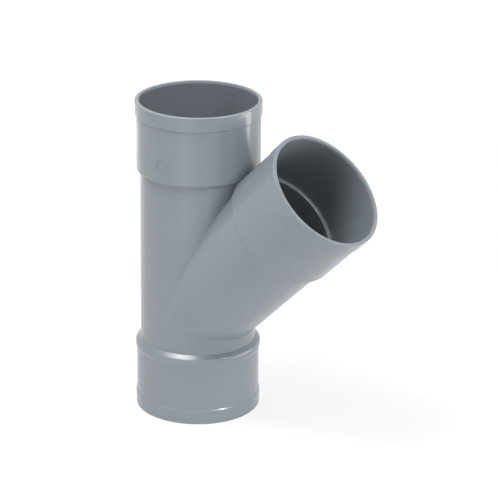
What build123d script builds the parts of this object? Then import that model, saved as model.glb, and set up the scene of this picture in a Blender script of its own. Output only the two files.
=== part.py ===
"""Equal 45 degree wye for 100 mm drainage pipe: one injection moulding with three solvent-weld sockets.

The run stands on its lower socket's mouth. Its axis is +Z and the origin is the centre of that mouth.
The branch leaves the run in the XZ plane, upwards and towards +X. The halves of the mould part in that
plane, so the body is its own mirror image in Y. Only the plain ring on the upper socket has a side.
"""

from build123d import *
import math
import os

# ---- Driving dimensions, mm and degrees ----
PIPE_D = 100.0  # outside diameter of the pipe that each socket takes
SOCKET_GAP = 0.15  # radial clearance of the pipe in a socket
SOCKET_WALL = 3.0
PIPE_WALL = 3.3  # step of the stop, so that the waterway is as wide as the pipe's own
BODY_WALL = 3.1
CORE_STEP = 0.1  # how much smaller the branch's radii are, so that its core closes on the run's side
BRANCH_ANGLE = 45.0  # between the run's axis and the branch's

SOCKET_DEPTH = 57.0  # from the mouth to the stop that the pipe's end meets
STOP_BACKING = 4.0  # from the stop to the far end of the shoulder outside
LOWER_LAND = 11.4  # plain body between the branch's underside and the lower shoulder
SHOULDER_MERGE = 1.4  # how far the upper and branch shoulders cross the plane midway between them

BAND_HEIGHT = 13.0  # thickened band round each mouth
BAND_PROUD = 0.85
BAND_RUNOUT = 1.0  # height over which the band's edge slopes down to the socket
MOUTH_ROUND = 0.6  # rounding of the mouth's outer edge
LEAD_IN_HEIGHT = 1.8  # taper inside the mouth that guides the pipe in
LEAD_IN_DEPTH = 0.6
STOP_ROUND = 0.8  # rounding of the stop's inner edge
SHOULDER_ROUND = 2.0  # rounding of the upper and branch shoulders' outer edges
HEEL_ROUND = 0.8  # hollow where a shoulder meets the body

BEAD_HEIGHT = 8.5  # rounded bead round the lower socket, down from its shoulder
BEAD_PROUD = 1.05
BEAD_RUNOUT = 2.5  # height over which the bead's lower side slopes back to the wall
BEAD_ROUND = 2.0  # rounding and hollow of that slope
BEAD_TOP_ROUND = 3.0  # rounding of that bead's upper edge, which is the lower shoulder's edge

WEB_THICKNESS = 2.0  # web that closes the notch between the upper and branch shoulders
WEB_ROOT = 4.0  # depth of the web's root in the crotch
WEB_HALF_WIDTH = 3.0  # reach of the web's far edge into each shoulder

MARK_D = 11.0  # plain raised ring on the flank of the upper socket
MARK_LINE = 0.8
MARK_PROUD = 0.3
MARK_RISE = 15.5  # from the shoulder's far end up to the ring's centre

# ---- Derived sizes ----
socket_bore_r = PIPE_D / 2 + SOCKET_GAP
socket_r = socket_bore_r + SOCKET_WALL
band_r = socket_r + BAND_PROUD
bore_r = PIPE_D / 2 - PIPE_WALL
body_r = bore_r + BODY_WALL
socket_length = SOCKET_DEPTH + STOP_BACKING

half_angle = math.radians(BRANCH_ANGLE / 2)
sin_half = math.sin(half_angle)
cos_half = math.cos(half_angle)
centre_z = socket_length + LOWER_LAND + body_r * math.tan(half_angle)  # where the axes cross
# Each upper arm is just long enough for the two rounded shoulders to run into each other.
edge_centre_r = socket_r - SHOULDER_ROUND
edge_centre_reach = (edge_centre_r * cos_half + SHOULDER_ROUND - SHOULDER_MERGE) / sin_half
arm_length = edge_centre_reach - SHOULDER_ROUND + socket_length
run_length = centre_z + arm_length

# Local Z is the branch's axis in one, and in the other it halves the angle between the two axes.
branch_place = Location((0, 0, centre_z), (0, BRANCH_ANGLE, 0))
midway_place = Location((0, 0, centre_z), (0, BRANCH_ANGLE / 2, 0))


def turned(corners):
    """A solid of revolution about Z. A corner is (radius, height, rounding), and both ends lie on Z."""
    points = [(radius, 0, height) for radius, height, _ in corners]
    roundings = [rounding for _, _, rounding in corners[1:-1]]
    profile = FilletPolyline(*points, radius=roundings) + Line(points[-1], points[0])
    return revolve(make_face(profile), Axis.Z)


def band_corners():
    """The band round a socket's mouth, as (radius, height above the mouth, rounding)."""
    return [(band_r, 0, MOUTH_ROUND), (band_r, BAND_HEIGHT - BAND_RUNOUT, 0), (socket_r, BAND_HEIGHT, 0)]


def socket_corners(body):
    """The outside of a plain socket from its mouth to a body of this radius."""
    shoulder = [(socket_r, socket_length, SHOULDER_ROUND), (body, socket_length, HEEL_ROUND)]
    return band_corners() + shoulder


def beaded_socket_corners():
    """The outside of the lower socket, which alone has a bead at its shoulder."""
    bead_r = socket_r + BEAD_PROUD
    bead_start = socket_length - BEAD_HEIGHT
    return band_corners() + [
        (socket_r, bead_start, BEAD_ROUND),
        (bead_r, bead_start + BEAD_RUNOUT, BEAD_ROUND),
        (bead_r, socket_length, BEAD_TOP_ROUND),
        (body_r, socket_length, HEEL_ROUND),
    ]


def socket_bore_corners(waterway):
    """The inside of a socket from its mouth to a waterway of this radius."""
    return [
        (socket_bore_r + LEAD_IN_DEPTH, 0, 0),
        (socket_bore_r, LEAD_IN_HEIGHT, 0),
        (socket_bore_r, SOCKET_DEPTH, 0),
        (waterway, SOCKET_DEPTH, STOP_ROUND),
    ]


def hung_from(length, corners):
    """The same corners for a socket whose mouth faces up at this height, from the body to the mouth."""
    return [(radius, length - height, rounding) for radius, height, rounding in reversed(corners)]


def run(lower, upper):
    """The run inside or outside, from the corners of its lower and its upper socket."""
    return turned([(0, 0, 0), *lower, *hung_from(run_length, upper), (0, run_length, 0)])


def branch(corners):
    """The branch inside or outside, from the crossing of the axes to its mouth."""
    body = corners[-1][0]
    arm = [(0, 0, 0), (body, 0, 0), *hung_from(arm_length, corners), (0, arm_length, 0)]
    return branch_place * turned(arm)


def crotch_web():
    """A thin web in the mould's parting plane, from the crotch up to where the shoulders touch."""
    crotch = body_r / sin_half
    shoulders = edge_centre_r * sin_half + edge_centre_reach * cos_half
    corners = [(0, crotch - WEB_ROOT), (WEB_HALF_WIDTH, shoulders), (-WEB_HALF_WIDTH, shoulders)]
    plate = extrude(Plane.XZ * Polygon(*corners, align=None), WEB_THICKNESS / 2, both=True)
    return midway_place * plate


def mark():
    """A plain raised ring on the upper socket's flank, as high everywhere as the wall is round."""
    ring = Cylinder(MARK_D / 2, 2 * socket_r) - Cylinder(MARK_D / 2 - MARK_LINE, 2 * socket_r)
    height = run_length - socket_length + MARK_RISE
    ring = Location((0, -socket_r, height), (90, 0, 0)) * ring
    inside_wall = socket_r - SOCKET_WALL / 2
    skin = Cylinder(socket_r + MARK_PROUD, run_length) - Cylinder(inside_wall, run_length)
    return ring & (Location((0, 0, run_length / 2)) * skin)


def wye():
    outside = run(beaded_socket_corners(), socket_corners(body_r))
    outside += branch(socket_corners(body_r - CORE_STEP))
    bore = socket_bore_corners(bore_r)
    waterway = run(bore, bore) + branch(socket_bore_corners(bore_r - CORE_STEP))
    return outside + crotch_web() + mark() - waterway


fitting = wye()
fitting.label = "wye_fitting"
os.makedirs("parts", exist_ok=True)
export_step(fitting, "parts/wye_fitting.step")
print("run length", round(run_length, 2), "centre", round(centre_z, 2), "arm", round(arm_length, 2))
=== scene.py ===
"""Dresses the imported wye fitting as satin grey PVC, in a plain pale studio.

The camera sees it from the product photo's angle.
"""

import math

import bpy
from mathutils import Matrix, Vector


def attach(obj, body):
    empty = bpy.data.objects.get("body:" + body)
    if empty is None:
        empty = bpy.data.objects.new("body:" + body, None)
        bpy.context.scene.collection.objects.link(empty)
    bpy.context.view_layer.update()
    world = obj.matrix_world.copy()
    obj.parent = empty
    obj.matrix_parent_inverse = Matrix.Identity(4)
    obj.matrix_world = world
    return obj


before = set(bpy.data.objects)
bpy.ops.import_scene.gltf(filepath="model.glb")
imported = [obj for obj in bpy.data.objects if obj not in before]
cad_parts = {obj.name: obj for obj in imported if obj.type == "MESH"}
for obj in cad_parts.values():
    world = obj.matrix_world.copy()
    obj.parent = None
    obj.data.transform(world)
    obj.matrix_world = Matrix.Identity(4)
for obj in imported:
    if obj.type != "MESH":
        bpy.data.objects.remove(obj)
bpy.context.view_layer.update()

NODE = "wye_fitting"
MM = 0.001

# ---- Camera: place and distance in metres, lens and sensor in mm ----
TARGET = Vector((0.05437, 0.0, 0.15307))
AZIMUTH = math.radians(34.795)
ELEVATION = math.radians(21.192)
ROLL = math.radians(0.588)
DISTANCE = 2.137
LENS_MM = 181.15
SENSOR_MM = 36.0
CLIP_NEAR, CLIP_FAR = 0.01, 50.0

# ---- Grey PVC ----
PVC_DARK = (0.203, 0.229, 0.250, 1.0)
PVC_LIGHT = (0.221, 0.249, 0.271, 1.0)
PVC_SPECK = (0.27, 0.29, 0.31, 1.0)
PVC_IOR = 1.53
NOISE_DETAIL = 2.0
NOISE_ROUGHNESS = 0.5
CLOUD_SCALE, SPECK_SCALE, GRAIN_SCALE = 18.0, 700.0, 1600.0
SPECK_FROM, SPECK_TO = 0.6, 0.8  # levels of the noise between which a speck comes in
SPECK_MOST = 0.2                 # its largest share of the colour
# The roughness ends at 0.265. From about 0.27 the renderer's noise filter draws outlines.
ROUGH_LEAST, ROUGH_SPAN = 0.225, 0.04
GRAIN_STRENGTH = 0.2
GRAIN_HEIGHT = 0.03 * MM

# ---- Slope from the run down to the lower socket's bead ----
# Radius and height of its section's corners, in mm. All but the second lie inside the solid,
# and that one stands just off the bead's rounding.
SLOPE_CORNERS = ((49.5, 63.18), (53.1, 60.36), (52.2, 59.8), (49.5, 59.8))
SLOPE_SIDES = 256
SLOPE_SHARP = math.radians(30)

# ---- Floor and world, in metres ----
FLOOR_HALF = 6.0
FLOOR_DROP = 0.2 * MM              # keeps it off the mouth that stands on it
FLOOR_COLOUR = 0.9                 # for the light that the floor gives back
FLOOR_LIT = 0.3                    # lit share of the floor where it shows, which keeps the shadow
FLOOR_NEAR, FLOOR_FAR = 0.7, 1.0   # white share near the object and far from it
FLOOR_FADE = (0.35, 1.3)           # distances between which the one goes over into the other
WHITE = 1.0
WORLD_LIGHT = 0.2                  # strength of the even light from all round

# ---- Lamps, which all look at LAMP_AIM ----
# Name, place and side in metres, power in watts, and whether gloss shows it.
LAMP_AIM = Vector((0.03, 0.0, 0.14))
LAMPS = (
    ("overhead_front", (-0.11, -0.31, 1.05), 0.35, 4.8, True),
    ("overhead_left", (-0.33, -0.23, 1.00), 0.35, 2.6, True),
    ("branch_mouth", (0.84, 0.00, 0.93), 0.20, 5.4, True),
    ("right_side", (0.58, 0.40, 0.12), 0.40, 3.0, True),
    ("left_back", (-0.70, 0.40, 0.15), 0.40, 5.0, False),
    ("front_low", (0.15, -0.70, 0.06), 0.30, 2.6, False),
)


def place(name, data):
    """A new object in the scene."""
    thing = bpy.data.objects.new(name, data)
    bpy.context.scene.collection.objects.link(thing)
    return thing


def grey(level):
    return (level, level, level, 1.0)


class Graph:
    """Small helper that adds nodes to a material or world and joins them."""

    def __init__(self, owner):
        owner.use_nodes = True
        self.tree = owner.node_tree
        self.tree.nodes.clear()

    def add(self, kind, settings=None, **inputs):
        """A new node. An underscore in an input's name stands for a space."""
        node = self.tree.nodes.new(kind)
        for name, value in (settings or {}).items():
            setattr(node, name, value)
        for name, value in inputs.items():
            self.put(node, name.replace("_", " "), value)
        return node

    def put(self, node, key, value):
        """Joins a socket to an input, or sets the input to a plain value."""
        socket = node.inputs[key]
        if isinstance(value, bpy.types.NodeSocket):
            self.tree.links.new(value, socket)
        else:
            socket.default_value = value

    def maths(self, operation, first, second):
        node = self.add("ShaderNodeMath", {"operation": operation})
        self.put(node, 0, first)
        self.put(node, 1, second)
        return node.outputs[0]

    def ramp(self, factor, low, high, low_to, high_to):
        """Goes smoothly from low_to to high_to as the factor goes from low to high."""
        return self.add(
            "ShaderNodeMapRange", {"interpolation_type": "SMOOTHSTEP"},
            Value=factor, From_Min=low, From_Max=high, To_Min=low_to, To_Max=high_to,
        ).outputs["Result"]

    def blend(self, factor, first, second):
        node = self.add("ShaderNodeMix", {"data_type": "RGBA"})
        self.put(node, 0, factor)
        self.put(node, 6, first)
        self.put(node, 7, second)
        return node.outputs[2]

    def seen(self):
        """1 for rays that show the backdrop: camera, glossy and transmission rays."""
        path = self.add("ShaderNodeLightPath")
        total = self.maths("MAXIMUM", path.outputs["Is Camera Ray"], path.outputs["Is Glossy Ray"])
        return self.maths("MAXIMUM", total, path.outputs["Is Transmission Ray"])

    def finish(self, shader, kind="ShaderNodeOutputMaterial"):
        self.add(kind, Surface=shader.outputs[0])


def make_camera():
    back = Vector((
        math.sin(AZIMUTH) * math.cos(ELEVATION),
        -math.cos(AZIMUTH) * math.cos(ELEVATION),
        math.sin(ELEVATION),
    ))
    level = Vector((math.cos(AZIMUTH), math.sin(AZIMUTH), 0.0))
    over = back.cross(level)
    right = level * math.cos(ROLL) + over * math.sin(ROLL)
    up = back.cross(right)
    data = bpy.data.cameras.new("camera")
    data.sensor_width = SENSOR_MM
    data.lens = LENS_MM
    data.clip_start = CLIP_NEAR
    data.clip_end = CLIP_FAR
    camera = place("camera", data)
    turn = Matrix((right, up, back)).transposed().to_4x4()
    camera.matrix_world = Matrix.Translation(TARGET + back * DISTANCE) @ turn
    bpy.context.scene.camera = camera


def pvc():
    """Satin grey plastic: a faint cloud in colour and roughness, fine specks and a fine grain."""
    material = bpy.data.materials.new("grey_pvc")
    graph = Graph(material)
    where = graph.add("ShaderNodeTexCoord").outputs["Object"]
    cloud, speck, grain = (
        graph.add(
            "ShaderNodeTexNoise",
            Vector=where, Scale=scale, Detail=NOISE_DETAIL, Roughness=NOISE_ROUGHNESS,
        ).outputs[0]
        for scale in (CLOUD_SCALE, SPECK_SCALE, GRAIN_SCALE)
    )
    base = graph.blend(cloud, PVC_DARK, PVC_LIGHT)
    base = graph.blend(graph.ramp(speck, SPECK_FROM, SPECK_TO, 0.0, SPECK_MOST), base, PVC_SPECK)
    rough = graph.maths("ADD", graph.maths("MULTIPLY", cloud, ROUGH_SPAN), ROUGH_LEAST)
    bump = graph.add("ShaderNodeBump", Strength=GRAIN_STRENGTH, Distance=GRAIN_HEIGHT, Height=grain)
    graph.finish(graph.add(
        "ShaderNodeBsdfPrincipled",
        Base_Color=base, Roughness=rough, IOR=PVC_IOR, Normal=bump.outputs[0],
    ))
    return material


def shoulder_slope(material):
    """A ring that leads the run's wall down into the top of the lower bead."""
    count = len(SLOPE_CORNERS)
    points, faces = [], []
    for side in range(SLOPE_SIDES):
        turn = 2 * math.pi * side / SLOPE_SIDES
        points += [
            (radius * MM * math.cos(turn), radius * MM * math.sin(turn), height * MM)
            for radius, height in SLOPE_CORNERS
        ]
        here, there = side * count, (side + 1) % SLOPE_SIDES * count
        faces += [
            (here + i, here + (i + 1) % count, there + (i + 1) % count, there + i)
            for i in range(count)
        ]
    data = bpy.data.meshes.new("shoulder_slope")
    data.from_pydata(points, [], faces)
    data.shade_smooth()
    data.set_sharp_from_angle(angle=SLOPE_SHARP)
    data.materials.append(material)
    ring = place("shoulder_slope", data)
    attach(ring, "root")


def dress():
    """Gives the CAD node and the ring on it the same plastic."""
    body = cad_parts[NODE]
    material = pvc()
    for slot in body.material_slots:
        slot.material = material
    shoulder_slope(material)


def make_floor():
    """A pale floor. Where it shows it is white but for the shadow on it."""
    signs = ((-1, -1), (1, -1), (1, 1), (-1, 1))
    corners = [(x * FLOOR_HALF, y * FLOOR_HALF, 0) for x, y in signs]
    data = bpy.data.meshes.new("floor")
    data.from_pydata(corners, [], [(0, 1, 2, 3)])
    floor = place("floor", data)
    floor.location.z = -FLOOR_DROP
    material = bpy.data.materials.new("floor")
    graph = Graph(material)
    seen = graph.seen()
    colour = graph.blend(seen, grey(FLOOR_COLOUR), grey(FLOOR_LIT))
    lit = graph.add("ShaderNodeBsdfDiffuse", Color=colour)
    where = graph.add("ShaderNodeTexCoord").outputs["Object"]
    away = graph.add("ShaderNodeVectorMath", {"operation": "LENGTH"}, Vector=where).outputs["Value"]
    share = graph.ramp(away, *FLOOR_FADE, FLOOR_NEAR, FLOOR_FAR)
    strength = graph.maths("MULTIPLY", seen, share)
    white = graph.add("ShaderNodeEmission", Color=grey(WHITE), Strength=strength)
    both = graph.add("ShaderNodeAddShader")
    graph.put(both, 0, lit.outputs[0])
    graph.put(both, 1, white.outputs[0])
    graph.finish(both)
    data.materials.append(material)


def make_world():
    """White where it shows, and a low even light from all round."""
    world = bpy.data.worlds.new("studio")
    bpy.context.scene.world = world
    graph = Graph(world)
    strength = graph.maths("MAXIMUM", graph.seen(), WORLD_LIGHT)
    light = graph.add("ShaderNodeBackground", Color=grey(WHITE), Strength=strength)
    graph.finish(light, "ShaderNodeOutputWorld")


def make_lamps():
    for name, spot, side, power, glossy in LAMPS:
        data = bpy.data.lights.new(name, "AREA")
        data.shape = "SQUARE"
        data.size = side
        data.energy = power
        lamp = place(name, data)
        lamp.location = spot
        lamp.rotation_euler = (LAMP_AIM - Vector(spot)).to_track_quat("-Z", "Y").to_euler()
        lamp.visible_camera = False
        lamp.visible_glossy = glossy


bpy.context.scene.view_settings.view_transform = "Standard"
make_camera()
dress()
make_floor()
make_world()
make_lamps()
